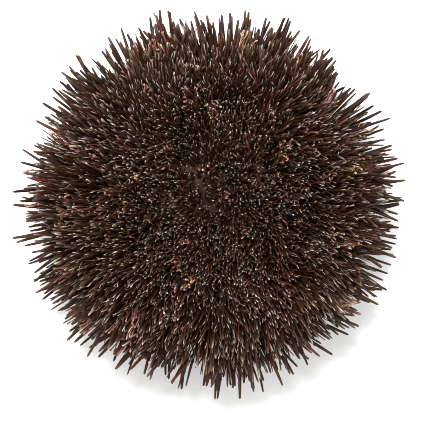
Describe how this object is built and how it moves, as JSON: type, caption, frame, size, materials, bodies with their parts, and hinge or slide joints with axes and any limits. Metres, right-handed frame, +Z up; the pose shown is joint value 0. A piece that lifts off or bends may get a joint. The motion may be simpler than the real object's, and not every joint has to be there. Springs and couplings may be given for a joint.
{
  "type": "sea urchin",
  "caption": "Whole sea urchin, a flattened round shell covered all over in slender dark brown spines, standing on the tips of its lowest spines.",
  "frame": {"origin": "middle of the footprint, on the surface that the lowest spines stand on", "axes": "+Z up, through the crown; the mouth faces down"},
  "size_m": [0.1366, 0.1358, 0.0667],
  "materials": {
    "spines": "satin, dark brown with paler tips"
  },
  "bodies": {
    "root": {"sea_urchin": "spines"}
  },
  "joints": []
}
